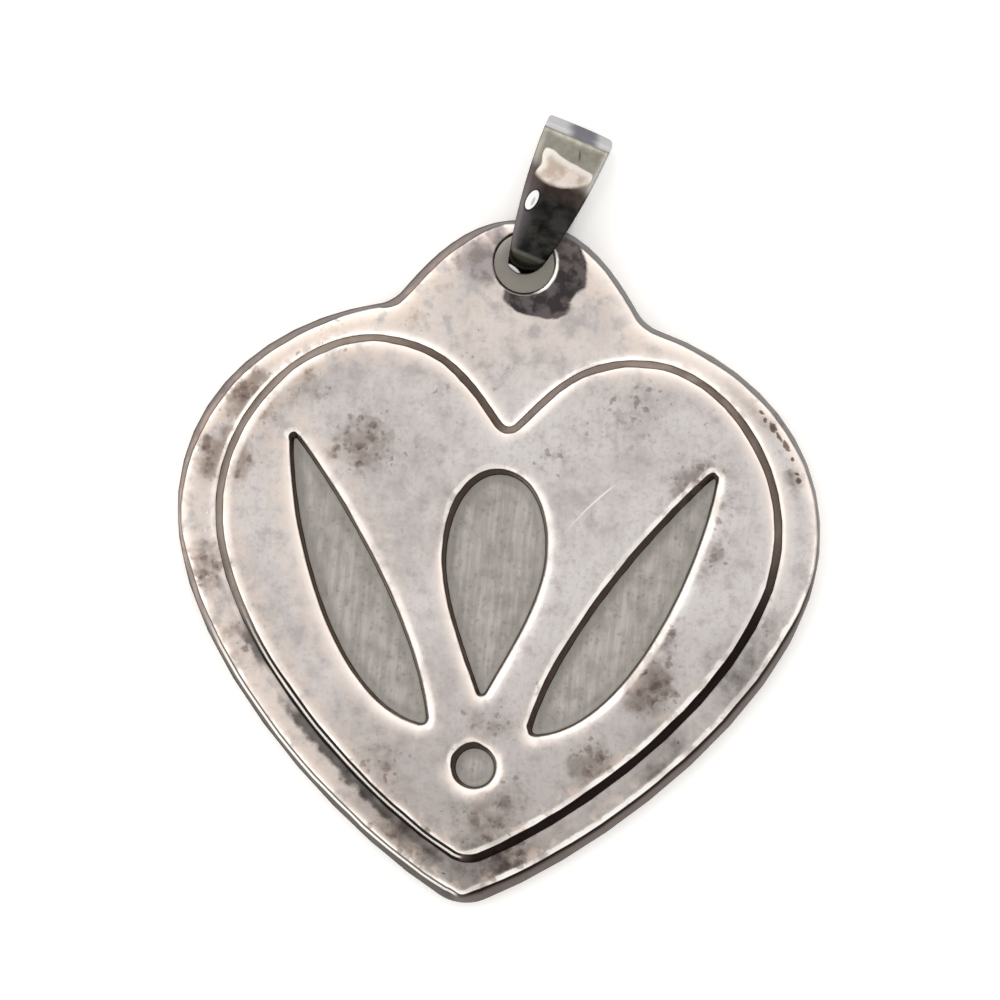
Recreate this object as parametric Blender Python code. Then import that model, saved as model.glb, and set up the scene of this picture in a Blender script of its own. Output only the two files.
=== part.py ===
# Heart pendant: a thick silver heart with a raised, pierced heart soldered on its face.
# A tapered strip bail, folded into a loop, hangs it by a hole near its upper edge.
# X runs across the heart, Y up towards the bail and Z out of the face. The back face is Z = 0.

import math

import bmesh
import bpy
from mathutils import Vector

# Heart plate, in metres. Heights are measured from the heart's widest line, which is Y = 0.
HALF_WIDTH = 0.01612
TIP_DROP = 0.01940  # to the point where the lower sides would meet, before it is rounded
TIP_ANGLE = 63.0  # degrees between a lower side and the heart's axis, at the point
TIP_ROUND = 0.0012
LOWER_FULLNESS = 0.0075
TIP_FULLNESS = 0.0064
UPPER_FULLNESS = 0.0055
LOBE_FULLNESS = 0.0050
LOBE_FALL = 14.0  # degrees that the lobe falls away from the throat
THROAT_X = 0.00636
THROAT_Y = 0.01051
THROAT_ROUND = 0.0007
FLANK_ANGLE = 54.0  # degrees that the neck rises from the throat
FLANK_FULLNESS = 0.0018
CROWN_FULLNESS = 0.0031
PLATE_THICKNESS = 0.0015
PLATE_EDGE_WIDTH = 0.00085  # the rounding of the front and back edges is wider than it is deep
PLATE_EDGE_DEPTH = 0.00065

# Hanging hole and the bar of metal left above it
HOLE_RISE = 0.00255  # from the throats up to the hole's centre
HOLE_RADIUS = 0.00150
BAR_WIDTH = 0.00064
HOLE_MOUTH = 0.00045  # rounding of the hole's two mouths
HOLE_SIDES = 48
HOLE_Y = THROAT_Y + HOLE_RISE

# Raised heart, set in from the plate's edge
RAISED_THICKNESS = 0.00065
RAISED_EDGE_WIDTH = 0.0006
RAISED_EDGE_DEPTH = 0.00045
SOLDER_GAP = 0.00005
SIDE_MARGIN = 0.0019
TIP_MARGIN = 0.0021
LOBE_SIDE_STEP = 0.00044  # from the plate's throat out to the raised lobe's top
LOBE_MARGIN = 0.00171  # from the plate's throat down to the raised lobe's top
LOBE_TOP_FULLNESS = 0.0035
CLEFT_DROP = 0.00591  # from the throats down to the cleft
CLEFT_ANGLE = 40.0  # degrees between a lobe's inner side and the heart's axis
CLEFT_ROUND = 0.0006
CLEFT_FULLNESS = 0.0024
RAISED_TIP_ROUND = 0.0009
RAISED_HALF_WIDTH = HALF_WIDTH - SIDE_MARGIN
RAISED_TIP_Y = TIP_MARGIN - TIP_DROP
CLEFT_Y = THROAT_Y - CLEFT_DROP

# Openings cut through the raised heart: a bud, two curved leaves and a round seed
BUD_DROP = 0.0022  # from the cleft down to the bud's top
BUD_POINT_RISE = 0.0085  # from the raised heart's tip up to the bud's point
BUD_HALF_WIDTH = 0.00245
BUD_WIDEST_DROP = 0.0040  # from the bud's top down to its widest line
BUD_CROWN_FULLNESS = 0.0015
BUD_SIDE_FULLNESS = 0.0022
BUD_POINT_ANGLE = 24.0
LEAF_BASE_X = 0.0026
LEAF_BASE_RISE = 0.0069  # from the raised heart's tip
LEAF_TIP_MARGIN = 0.0036  # in from the raised heart's widest point
LEAF_TIP_DROP = 0.0071  # from the throats
LEAF_INNER_ANGLES = (78.0, 48.0)  # degrees at which the inner side leaves the base and meets the tip
LEAF_OUTER_ANGLES = (-95.0, -170.0)  # degrees at which the outer side leaves the tip and meets the base
LEAF_FULLNESS = 0.0048
SEED_RISE = 0.0050  # from the raised heart's tip
SEED_RADIUS = 0.00095
WINDOW_POINT_ROUND = 0.0004

# Bail: a strip that tapers to the foot, folded round the bar
BAIL_LENGTH = 0.0079
BAIL_STRIP = 0.0005
BAIL_TOP_HALF_WIDTH = 0.00176
BAIL_TAPER_POWER = 0.85
BAIL_CLEARANCE = 0.0003  # between the strip and the plate's two faces
BAIL_HEAD_DEPTH = 0.0041  # front crease to back crease, outside
BAIL_HEAD_SLOPE = 0.00075  # how far the front crease lies below the top
BAIL_BACK_FALL = 0.0001
FOOT_BEND = 0.0011
CREASE_BEND = 0.00045
BAIL_EDGE = 0.00008
FOOT_SIDE_GAP = 0.0003  # between the foot's right edge and the side of the hole
FOOT_FLOOR_GAP = 0.00078  # between the foot and the bottom of the hole
AXIS_DROP = 0.0001  # from the middle of the bar down to the axis that the bail swings on
BAIL_LEAN = 17.5  # degrees that the bail leans to the right
BAIL_SHIFT = 0.00055  # where on the bar it hangs, right of the heart's axis
BAIL_FOOT_HALF_WIDTH = HOLE_RADIUS - BAIL_SHIFT - FOOT_SIDE_GAP
HOLE_TO_AXIS = HOLE_RADIUS + BAR_WIDTH / 2 - AXIS_DROP
FOOT_TO_AXIS = HOLE_TO_AXIS + HOLE_RADIUS - FOOT_FLOOR_GAP

FILLET_SHARE = 0.9  # the most of its wall that a rounding may take
CORNER_SOFTNESS = 0.6  # share of a corner's rounding that its handles take
SHARPEST_SMOOTH = 40.0  # degrees between faces that are still shaded as one surface
CURVE_STEPS = 9
EDGE_STEPS = 2
MOUTH_STEPS = 3
BEND_STEPS = 6
STRAIGHT_STEPS = 7

SILVER = (0.58, 0.54, 0.52, 1.0)
SILVER_ROUGHNESS = 0.38
DARK_SILVER = (0.24, 0.24, 0.23, 1.0)
DARK_SILVER_ROUGHNESS = 0.22


def heading(angle):
    """The direction at this many degrees to the X axis."""
    return Vector((math.cos(math.radians(angle)), math.sin(math.radians(angle))))


def knot(place, before, after):
    """A curve's point, with the steps to its two handles."""
    place = Vector(place)
    return place, place + Vector(before), place + Vector(after)


def mirrored(half):
    """The closed loop made of this right half and its mirror image."""
    flip = [tuple(Vector((-p.x, p.y)) for p in (place, after, before)) for place, before, after in half]
    if abs(half[0][0].x) < 1e-9:
        flip = flip[1:]
    if abs(half[-1][0].x) < 1e-9:
        flip = flip[:-1]
    return half + flip[::-1]


def corner(place, arriving, leaving, reach, pull_in, pull_out):
    """Two knots that round a corner. The directions are unit vectors along the path."""
    place = Vector(place)
    into = place - arriving * reach
    out = place + leaving * reach
    soft = CORNER_SOFTNESS * reach
    return [
        knot(into, -arriving * pull_in, arriving * soft),
        knot(out, -leaving * soft, leaving * pull_out),
    ]


def plate_outline():
    top = HOLE_Y + HOLE_RADIUS + BAR_WIDTH
    down_flank = heading(-FLANK_ANGLE)
    along_lobe = heading(-LOBE_FALL)
    to_tip = heading(-90.0 - TIP_ANGLE)
    tip_side = Vector((0, -TIP_DROP)) - to_tip * TIP_ROUND
    return mirrored(
        [knot((0, top), (-CROWN_FULLNESS, 0), (CROWN_FULLNESS, 0))]
        + corner((THROAT_X, THROAT_Y), down_flank, along_lobe, THROAT_ROUND, FLANK_FULLNESS, LOBE_FULLNESS)
        + [
            knot((HALF_WIDTH, 0), (0, UPPER_FULLNESS), (0, -LOWER_FULLNESS)),
            knot(tip_side, -to_tip * TIP_FULLNESS, to_tip * CORNER_SOFTNESS * TIP_ROUND),
        ]
    )


def raised_outline():
    up_lobe = heading(90.0 - CLEFT_ANGLE)
    cleft_side = Vector((0, CLEFT_Y)) + up_lobe * CLEFT_ROUND
    to_tip = heading(-90.0 - TIP_ANGLE)
    tip_side = Vector((0, RAISED_TIP_Y)) - to_tip * RAISED_TIP_ROUND
    lobe_top = (THROAT_X + LOBE_SIDE_STEP, THROAT_Y - LOBE_MARGIN)
    inset = RAISED_HALF_WIDTH / HALF_WIDTH
    return mirrored(
        [
            knot(cleft_side, -up_lobe * CORNER_SOFTNESS * CLEFT_ROUND, up_lobe * CLEFT_FULLNESS),
            knot(lobe_top, (-LOBE_TOP_FULLNESS, 0), (LOBE_TOP_FULLNESS, 0)),
            knot((RAISED_HALF_WIDTH, 0), (0, UPPER_FULLNESS * inset), (0, -LOWER_FULLNESS * inset)),
            knot(tip_side, -to_tip * TIP_FULLNESS * inset, to_tip * CORNER_SOFTNESS * RAISED_TIP_ROUND),
        ]
    )


def bud_outline():
    top = CLEFT_Y - BUD_DROP
    to_point = heading(-90.0 - BUD_POINT_ANGLE)
    point_side = Vector((0, RAISED_TIP_Y + BUD_POINT_RISE)) - to_point * WINDOW_POINT_ROUND
    side = Vector((0, BUD_SIDE_FULLNESS))
    return mirrored(
        [
            knot((0, top), (-BUD_CROWN_FULLNESS, 0), (BUD_CROWN_FULLNESS, 0)),
            knot((BUD_HALF_WIDTH, top - BUD_WIDEST_DROP), side, -side),
            knot(
                point_side,
                -to_point * BUD_SIDE_FULLNESS,
                to_point * CORNER_SOFTNESS * WINDOW_POINT_ROUND,
            ),
        ]
    )


def leaf_outline():
    leave_base, meet_tip = (heading(angle) for angle in LEAF_INNER_ANGLES)
    leave_tip, meet_base = (heading(angle) for angle in LEAF_OUTER_ANGLES)
    base = (LEAF_BASE_X, RAISED_TIP_Y + LEAF_BASE_RISE)
    tip = (RAISED_HALF_WIDTH - LEAF_TIP_MARGIN, THROAT_Y - LEAF_TIP_DROP)
    pull = LEAF_FULLNESS - WINDOW_POINT_ROUND
    return corner(base, meet_base, leave_base, WINDOW_POINT_ROUND, pull, pull) + corner(
        tip, meet_tip, leave_tip, WINDOW_POINT_ROUND, pull, pull
    )


def round_outline(centre, radius):
    pull = radius * 4 / 3 * math.tan(math.pi / 8)
    steps = [heading(angle) for angle in (90, 0, -90, -180)]
    return [
        knot(Vector(centre) + out * radius, Vector((-out.y, out.x)) * pull, Vector((out.y, -out.x)) * pull)
        for out in steps
    ]


def reflected(loop):
    """The loop's mirror image, still running the same way round."""
    flip = [tuple(Vector((-p.x, p.y)) for p in (place, after, before)) for place, before, after in loop]
    return flip[::-1]


def rounded_sheet(name, outside, windows, half_height, edge_width, edge_depth):
    """A flat sheet with rounded edges, half_height to each side of Z = 0. Windows run the other way."""
    edge_depth = min(edge_depth, FILLET_SHARE * half_height)
    squeeze = edge_depth / edge_width
    curve = bpy.data.curves.new(name, "CURVE")
    curve.dimensions = "2D"
    curve.fill_mode = "BOTH"
    curve.extrude = (half_height - edge_depth) / squeeze
    curve.bevel_depth = edge_width
    curve.bevel_resolution = EDGE_STEPS
    curve.offset = -edge_width
    curve.resolution_u = CURVE_STEPS
    for loop in [outside] + [window[::-1] for window in windows]:
        spline = curve.splines.new("BEZIER")
        spline.bezier_points.add(len(loop) - 1)
        spline.use_cyclic_u = True
        for point, (place, before, after) in zip(spline.bezier_points, loop):
            point.handle_left_type = point.handle_right_type = "FREE"
            point.co = place.to_3d()
            swap = loop is not outside
            point.handle_left = (after if swap else before).to_3d()
            point.handle_right = (before if swap else after).to_3d()
    guide = bpy.data.objects.new(name + "_outline", curve)
    bpy.context.scene.collection.objects.link(guide)
    bpy.context.view_layer.update()
    mesh = bpy.data.meshes.new_from_object(guide)
    bpy.data.objects.remove(guide)
    mesh.name = name
    shape = bmesh.new()
    shape.from_mesh(mesh)
    bmesh.ops.scale(shape, vec=(1, 1, squeeze), verts=shape.verts)
    bmesh.ops.remove_doubles(shape, verts=shape.verts, dist=1e-7)
    bmesh.ops.recalc_face_normals(shape, faces=shape.faces)
    shape.to_mesh(mesh)
    shape.free()
    return mesh


def cut_flat(mesh):
    """Keeps what lies above Z = 0 and closes the cut."""
    shape = bmesh.new()
    shape.from_mesh(mesh)
    everything = shape.verts[:] + shape.edges[:] + shape.faces[:]
    bmesh.ops.bisect_plane(shape, geom=everything, plane_co=(0, 0, 0), plane_no=(0, 0, 1), clear_inner=True)
    rim = [edge for edge in shape.edges if edge.is_boundary]
    bmesh.ops.triangle_fill(shape, use_beauty=True, edges=rim)
    bmesh.ops.recalc_face_normals(shape, faces=shape.faces)
    shape.to_mesh(mesh)
    shape.free()


def hole_cutter():
    """A round cutter, longer than the plate is thick, that also rounds the hole's two mouths."""
    face = PLATE_THICKNESS / 2
    mouth = min(HOLE_MOUTH, FILLET_SHARE * face)
    upper = [(HOLE_RADIUS + mouth, PLATE_THICKNESS)]
    for step in range(MOUTH_STEPS + 1):
        swing = math.pi / 2 * step / MOUTH_STEPS
        upper.append(
            (HOLE_RADIUS + mouth * (1 - math.sin(swing)), face - mouth * (1 - math.cos(swing)))
        )
    profile = upper + [(radius, -height) for radius, height in reversed(upper)]
    shape = bmesh.new()
    line = [shape.verts.new((radius, 0, height)) for radius, height in profile]
    for upper, lower in zip(line, line[1:]):
        shape.edges.new((upper, lower))
    bmesh.ops.spin(
        shape,
        geom=shape.verts[:] + shape.edges[:],
        axis=(0, 0, 1),
        angle=2 * math.pi,
        steps=HOLE_SIDES,
        use_merge=True,
    )
    bmesh.ops.holes_fill(shape, edges=shape.edges)
    bmesh.ops.recalc_face_normals(shape, faces=shape.faces)
    mesh = bpy.data.meshes.new("hole_cutter")
    shape.to_mesh(mesh)
    shape.free()
    cutter = bpy.data.objects.new("hole_cutter", mesh)
    cutter.location = (0, HOLE_Y, PLATE_THICKNESS / 2)
    cutter.hide_render = True
    cutter.display_type = "WIRE"
    bpy.context.scene.collection.objects.link(cutter)
    return cutter


def bail_path():
    """The middle line of the folded strip, from the side: (distance from the foot, height)."""
    inset = BAIL_STRIP / 2
    foot_half = PLATE_THICKNESS / 2 + BAIL_CLEARANCE + inset
    foot_bend = min(FOOT_BEND, FILLET_SHARE * foot_half)
    back = -foot_half - BAIL_BACK_FALL
    front = back + BAIL_HEAD_DEPTH - BAIL_STRIP
    corners = [
        (Vector((inset, foot_half)), foot_bend),
        (Vector((BAIL_LENGTH - inset - BAIL_HEAD_SLOPE, front)), CREASE_BEND),
        (Vector((BAIL_LENGTH - inset, back)), CREASE_BEND),
        (Vector((inset, -foot_half)), foot_bend),
    ]
    points = []
    for index, (place, bend) in enumerate(corners):
        before = corners[index - 1][0]
        after = corners[(index + 1) % len(corners)][0]
        arriving = (place - before).normalized()
        leaving = (after - place).normalized()
        turn = arriving.angle(leaving)
        reach = bend * math.tan(turn / 2)
        start = place - arriving * reach
        centre = start + Vector((arriving.y, -arriving.x)) * bend
        arc = []
        for step in range(BEND_STEPS + 1):
            swing = turn * step / BEND_STEPS
            spoke = start - centre
            arc.append(
                centre
                + Vector(
                    (
                        spoke.x * math.cos(swing) + spoke.y * math.sin(swing),
                        -spoke.x * math.sin(swing) + spoke.y * math.cos(swing),
                    )
                )
            )
        if points:
            points += [points[-1].lerp(arc[0], step / STRAIGHT_STEPS) for step in range(1, STRAIGHT_STEPS)]
        points += arc
    points.append(points[-1].lerp(points[0], 1 / 2))
    return points


def bail_half_width(from_foot):
    share = min(max(from_foot / BAIL_LENGTH, 0.0), 1.0)
    swell = math.sin(math.pi / 2 * share**BAIL_TAPER_POWER)
    return BAIL_FOOT_HALF_WIDTH + (BAIL_TOP_HALF_WIDTH - BAIL_FOOT_HALF_WIDTH) * swell


def bail_mesh():
    """The strip swept round its path. Y runs from foot to top, and the origin is on the swing axis."""
    path = bail_path()
    shape = bmesh.new()
    rings = []
    for index, place in enumerate(path):
        before, after = path[index - 1], path[(index + 1) % len(path)]
        along = (after - before).normalized()
        outward = Vector((-along.y, along.x)) * BAIL_STRIP / 2
        half = bail_half_width(place.x)
        ring = []
        for side, skin in ((-1, 1), (1, 1), (1, -1), (-1, -1)):
            point = place + outward * skin
            ring.append(shape.verts.new((side * half, point.x - FOOT_TO_AXIS, point.y)))
        rings.append(ring)
    for index, ring in enumerate(rings):
        following = rings[(index + 1) % len(rings)]
        for side in range(4):
            onward = (side + 1) % 4
            shape.faces.new((ring[side], ring[onward], following[onward], following[side]))
    bmesh.ops.recalc_face_normals(shape, faces=shape.faces)
    long_edges = [edge for edge in shape.edges if edge.calc_face_angle() > math.radians(60)]
    bmesh.ops.bevel(
        shape, geom=long_edges, offset=BAIL_EDGE, segments=1, profile=0.5, affect="EDGES", material=-1
    )
    mesh = bpy.data.meshes.new("bail")
    shape.to_mesh(mesh)
    shape.free()
    return mesh


def metal(name, colour, roughness):
    material = bpy.data.materials.new(name)
    material.use_nodes = True
    shader = material.node_tree.nodes["Principled BSDF"]
    shader.inputs["Base Color"].default_value = colour
    shader.inputs["Metallic"].default_value = 1.0
    shader.inputs["Roughness"].default_value = roughness
    return material


def place(mesh, material, location=(0, 0, 0), parent=None):
    mesh.materials.append(material)
    mesh.shade_smooth()
    mesh.set_sharp_from_angle(angle=math.radians(SHARPEST_SMOOTH))
    piece = bpy.data.objects.new(mesh.name, mesh)
    piece.location = location
    piece.parent = parent
    bpy.context.scene.collection.objects.link(piece)
    return piece


def build_pendant():
    for old in list(bpy.data.objects):
        bpy.data.objects.remove(old)

    worn_silver = metal("worn silver", SILVER, SILVER_ROUGHNESS)
    half_plate = PLATE_THICKNESS / 2
    plate = rounded_sheet(
        "heart_plate", plate_outline(), [], half_plate, PLATE_EDGE_WIDTH, PLATE_EDGE_DEPTH
    )
    drilled = place(plate, worn_silver, (0, 0, half_plate)).modifiers.new("hanging hole", "BOOLEAN")
    drilled.operation = "DIFFERENCE"
    drilled.object = hole_cutter()

    leaf = leaf_outline()
    seed = round_outline((0, RAISED_TIP_Y + SEED_RISE), SEED_RADIUS)
    windows = [bud_outline(), leaf, reflected(leaf), seed]
    raised = rounded_sheet(
        "raised_heart", raised_outline(), windows, RAISED_THICKNESS, RAISED_EDGE_WIDTH, RAISED_EDGE_DEPTH
    )
    cut_flat(raised)
    place(raised, worn_silver, (0, 0, PLATE_THICKNESS + SOLDER_GAP))

    axis = bpy.data.objects.new("bail_axis", None)
    axis.location = (BAIL_SHIFT, HOLE_Y + HOLE_TO_AXIS, half_plate)
    axis.rotation_euler = (0, 0, -math.radians(BAIL_LEAN))
    bpy.context.scene.collection.objects.link(axis)
    place(bail_mesh(), metal("tarnished bail silver", DARK_SILVER, DARK_SILVER_ROUGHNESS), parent=axis)


build_pendant()
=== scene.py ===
# Heart pendant in worn sterling silver, lying on its back on a pale board.
# A thick plate, a raised and pierced heart soldered on its face, and a folded strip bail.
# Shapes are drawn in millimetres in the part's own frame and made metres at the end:
# X across the heart, Y up to the bail, Z out of the face.

import math
import time

import bmesh
import bpy
from mathutils import Matrix, Vector, kdtree, noise


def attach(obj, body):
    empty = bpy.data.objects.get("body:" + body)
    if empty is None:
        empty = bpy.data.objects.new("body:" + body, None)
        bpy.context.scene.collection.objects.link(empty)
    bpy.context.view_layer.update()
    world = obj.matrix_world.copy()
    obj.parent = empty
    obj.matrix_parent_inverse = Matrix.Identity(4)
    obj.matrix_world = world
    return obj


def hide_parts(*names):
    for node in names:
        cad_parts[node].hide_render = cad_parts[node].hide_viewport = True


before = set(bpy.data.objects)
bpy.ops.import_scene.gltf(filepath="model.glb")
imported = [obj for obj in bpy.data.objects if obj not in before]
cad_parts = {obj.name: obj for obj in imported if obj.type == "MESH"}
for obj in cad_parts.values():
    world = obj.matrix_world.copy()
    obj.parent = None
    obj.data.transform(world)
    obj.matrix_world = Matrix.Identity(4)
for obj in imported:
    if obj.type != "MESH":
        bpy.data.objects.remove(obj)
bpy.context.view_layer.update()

mm = 0.001
started = time.time()


# Small helpers

def heading(angle):
    return Vector((math.cos(math.radians(angle)), math.sin(math.radians(angle))))


def smoothStep(low, high, value):
    share = min(max((value - low) / (high - low), 0.0), 1.0)
    return share * share * (3 - 2 * share)


def knot(place, before, after):
    place = Vector(place)
    return place, place + Vector(before), place + Vector(after)


def reflected(loop):
    return [tuple(Vector((-p.x, p.y)) for p in (place, after, before)) for place, before, after in loop[::-1]]


def mirrored(half):  # a half outline and its reflection, where a knot on the axis comes once
    onAxis = [abs(half[end][0].x) < 1e-6 for end in (0, -1)]
    return half + reflected(half[int(onAxis[0]):len(half) - int(onAxis[1])])


cornerSoftness = 0.6  # share of a corner's rounding that its handles take


def roundedCorner(place, arriving, leaving, reach, pullIn, pullOut):
    place = Vector(place)
    soft = cornerSoftness * reach
    return [
        knot(place - arriving * reach, -arriving * pullIn, arriving * soft),
        knot(place + leaving * reach, -leaving * soft, leaving * pullOut),
    ]


def flatCurve(loops, steps, filled, wall=0.0, edge=0.0, rings=1):  # a flat bezier curve made a mesh
    curve = bpy.data.curves.new("outline", "CURVE")
    curve.dimensions = "2D"
    curve.fill_mode = "BOTH" if filled else "NONE"
    curve.resolution_u = steps
    curve.extrude = wall / 2
    curve.bevel_depth = edge
    curve.bevel_resolution = rings - 1
    curve.offset = -edge
    for loop in loops:
        window = loop is not loops[0]  # a window runs the other way round
        spline = curve.splines.new("BEZIER")
        spline.bezier_points.add(len(loop) - 1)
        spline.use_cyclic_u = True
        for point, (place, before, after) in zip(spline.bezier_points, loop[::-1] if window else loop):
            point.handle_left_type = point.handle_right_type = "FREE"
            point.co = place.to_3d()
            point.handle_left = (after if window else before).to_3d()
            point.handle_right = (before if window else after).to_3d()
    guide = bpy.data.objects.new("outline", curve)
    bpy.context.scene.collection.objects.link(guide)
    bpy.context.view_layer.update()
    mesh = bpy.data.meshes.new_from_object(guide)
    bpy.data.objects.remove(guide)
    bpy.data.curves.remove(curve)
    return mesh


edgeSamples = 400  # points on each stretch of an outline, for measuring distances
curveSteps = 30  # and for the shapes themselves


def makeRuler(loops):  # measures how far a point lies in from an outline, and which way is out
    tree = kdtree.KDTree(edgeSamples * sum(len(loop) for loop in loops))
    outward = []
    inWindow = []
    for loop in loops:
        line = flatCurve([loop], edgeSamples, False)
        points = [vertex.co.copy() for vertex in line.vertices]
        bpy.data.meshes.remove(line)
        for index, point in enumerate(points):
            along = (points[(index + 1) % len(points)] - points[index - 1]).normalized()
            side = Vector((-along.y, along.x, 0))
            outward.append(side if loop is loops[0] else -side)
            inWindow.append(loop is not loops[0])
            tree.insert(point, len(outward) - 1)
    tree.balance()
    return tree, outward, inWindow


def measure(ruler, place):  # distance in from the outline, the way out, and whether it is a window's edge
    tree, outward, inWindow = ruler
    nearest, index, distance = tree.find((place.x, place.y, 0))
    way = outward[index]
    beyond = (place.x - nearest.x) * way.x + (place.y - nearest.y) * way.y
    return (-distance if beyond > 0 else distance), way, inWindow[index]


def linkPiece(name, mesh):
    piece = bpy.data.objects.new(name, mesh)
    bpy.context.scene.collection.objects.link(piece)
    return piece


def placePiece(name, mesh):
    mesh.transform(Matrix.Scale(mm, 4))
    mesh.shade_smooth()
    print(name, "made at", round(time.time() - started, 1), len(mesh.polygons), "faces")
    return linkPiece(name, mesh)


def writeAttributes(mesh, **layers):
    for name, values in layers.items():
        mesh.attributes.new(name, "FLOAT", "POINT").data.foreach_set("value", values)


def finishMesh(shape, name):
    bmesh.ops.recalc_face_normals(shape, faces=shape.faces)
    mesh = bpy.data.meshes.new(name)
    shape.to_mesh(mesh)
    shape.free()
    return mesh


# Outlines, the same curves that the solids are cut from

plate = {
    "halfWidth": 16.12, "tipDrop": 19.40, "tipAngle": 63, "tipRound": 1.2,
    "lowerFullness": 7.5, "tipFullness": 6.4, "upperFullness": 5.5, "lobeFullness": 5.0, "lobeFall": 14,
    "throat": (6.36, 10.51), "throatRound": 0.7, "flankAngle": 54, "flankFullness": 1.8,
    "crownFullness": 3.1, "thickness": 1.5,
    "holeY": 13.06, "holeRadius": 1.5, "barWidth": 0.64,
    "frontMouth": (0.15, 0.18), "backMouth": (0.45, 0.45),  # rounding of the hole's edges, across and down
    "wallWidth": (0.17, 0.17), "wallDepth": (0.40, 0.46),  # the steep outer part, on the lit and shaded side
    # the way it faces where it is wider, and by how much
    "moreWall": [(145, 0.25), (60, 0.12), (-50, 0.33), (-90, 0.18), (-130, 0.25)],
    "shoulderWidth": 0.98, "shoulderDepth": (0.24, 0.18),  # and the worn shoulder above it
    "sideWall": 0.06,
    "wave": 0.014, "ripple": 0.035,
    "solder": 0.10, "solderWidth": 0.42, "solderEnd": (0.12, 0.35),  # fillet at the foot of the raised heart
    "facePitch": 0.5, "finerBands": [(0.8, 0.8), (0.35, 0.6)],  # squares on the face, finer beside that foot
    # litHeading and litReach: the way the painted highlight in the hole's mouth faces, and how far round it
    # reaches
    "mouthSteps": 8, "holeSides": 120, "litHeading": -14, "litReach": (0.50, 0.92),
}
raised = {
    "thickness": 0.65, "gap": 0.05, "sideMargin": 1.9, "tipMargin": 2.1,
    "lobeTop": (6.8, 8.8), "lobeTopFullness": 3.5,
    "cleftY": 4.6, "cleftAngle": 40, "cleftRound": 0.6, "cleftFullness": 2.4, "tipRound": 0.9,
    "wallWidth": (0.40, 0.48), "wallDepth": (0.38, 0.42), "moreWall": [],
    "windowWallWidth": (0.10, 0.36), "windowWallDepth": (0.24, 0.40),
    "shoulderWidth": 0.9, "shoulderDepth": (0.25, 0.13),
    "sideWall": 0.04,
    "wave": 0.014, "ripple": 0.045, "facePitch": 0.5,
}
windows = {
    "budTop": 2.4, "budPointY": -8.8, "budHalfWidth": 2.45, "budWidestDrop": 4.0,
    "budCrown": 1.5, "budSide": 2.2, "budPointAngle": 24,
    "leafBase": (2.6, -10.4), "leafTip": (10.62, 3.41), "leafFullness": 4.8,
    "leafInner": (78, 48), "leafOuter": (-95, -170),
    "seedY": -12.3, "seedRadius": 0.95, "pointRound": 0.4,
    "floorEdge": 0.2,  # how far under the raised sheet a window's floor is coloured
}
shadeHeading = -50  # degrees of the side that walls face away from the light, where painted shade on them lies darkest
shadeSteps = [(0.45, -1.0, 0.35), (0.55, 0.45, 0.97)]  # shares, and how squarely walls face that side
wallTurn = (0.7, 1.0)  # how squarely a wall faces a way before it is wider, and when it is widest
wallCurve = 1.15  # above 1, a wall is steepest at its foot
wear = {  # uneven filing and slow waves: turns to the millimetre, strength and layer of each noise
    "filing": [(0.8, 1.0, 3.7), (2.4, 0.7, 9.1)], "filingStart": (0.02, 0.25),
    "frontWaves": [(0.16, 1.0, 1.3), (0.42, 0.5, 5.1)], "backWaves": [(0.16, 1.0, 8.8), (0.42, 0.5, 5.1)],
    "waveStart": (0.5, 3.0),
}


def plateOutline():
    top = plate["holeY"] + plate["holeRadius"] + plate["barWidth"]
    toTip = heading(-90 - plate["tipAngle"])
    tipSide = Vector((0, -plate["tipDrop"])) - toTip * plate["tipRound"]
    crown = plate["crownFullness"]
    return mirrored(
        [knot((0, top), (-crown, 0), (crown, 0))]
        + roundedCorner(
            plate["throat"], heading(-plate["flankAngle"]), heading(-plate["lobeFall"]),
            plate["throatRound"], plate["flankFullness"], plate["lobeFullness"],
        )
        + [
            knot((plate["halfWidth"], 0), (0, plate["upperFullness"]), (0, -plate["lowerFullness"])),
            knot(tipSide, -toTip * plate["tipFullness"], toTip * cornerSoftness * plate["tipRound"]),
        ]
    )


def raisedOutline():
    upLobe = heading(90 - raised["cleftAngle"])
    cleftSide = Vector((0, raised["cleftY"])) + upLobe * raised["cleftRound"]
    toTip = heading(-90 - plate["tipAngle"])
    tipSide = Vector((0, raised["tipMargin"] - plate["tipDrop"])) - toTip * raised["tipRound"]
    halfWidth = plate["halfWidth"] - raised["sideMargin"]
    inset = halfWidth / plate["halfWidth"]
    top = raised["lobeTopFullness"]
    return mirrored([
        knot(cleftSide, -upLobe * cornerSoftness * raised["cleftRound"], upLobe * raised["cleftFullness"]),
        knot(raised["lobeTop"], (-top, 0), (top, 0)),
        knot((halfWidth, 0), (0, plate["upperFullness"] * inset), (0, -plate["lowerFullness"] * inset)),
        knot(tipSide, -toTip * plate["tipFullness"] * inset, toTip * cornerSoftness * raised["tipRound"]),
    ])


def budOutline():
    toPoint = heading(-90 - windows["budPointAngle"])
    pointSide = Vector((0, windows["budPointY"])) - toPoint * windows["pointRound"]
    side = Vector((0, windows["budSide"]))
    crown = windows["budCrown"]
    return mirrored([
        knot((0, windows["budTop"]), (-crown, 0), (crown, 0)),
        knot((windows["budHalfWidth"], windows["budTop"] - windows["budWidestDrop"]), side, -side),
        knot(pointSide, -toPoint * windows["budSide"], toPoint * cornerSoftness * windows["pointRound"]),
    ])


def leafOutline():
    leaveBase, meetTip = (heading(angle) for angle in windows["leafInner"])
    leaveTip, meetBase = (heading(angle) for angle in windows["leafOuter"])
    reach = windows["pointRound"]
    pull = windows["leafFullness"] - reach
    return roundedCorner(windows["leafBase"], meetBase, leaveBase, reach, pull, pull) + roundedCorner(
        windows["leafTip"], meetTip, leaveTip, reach, pull, pull
    )


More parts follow.
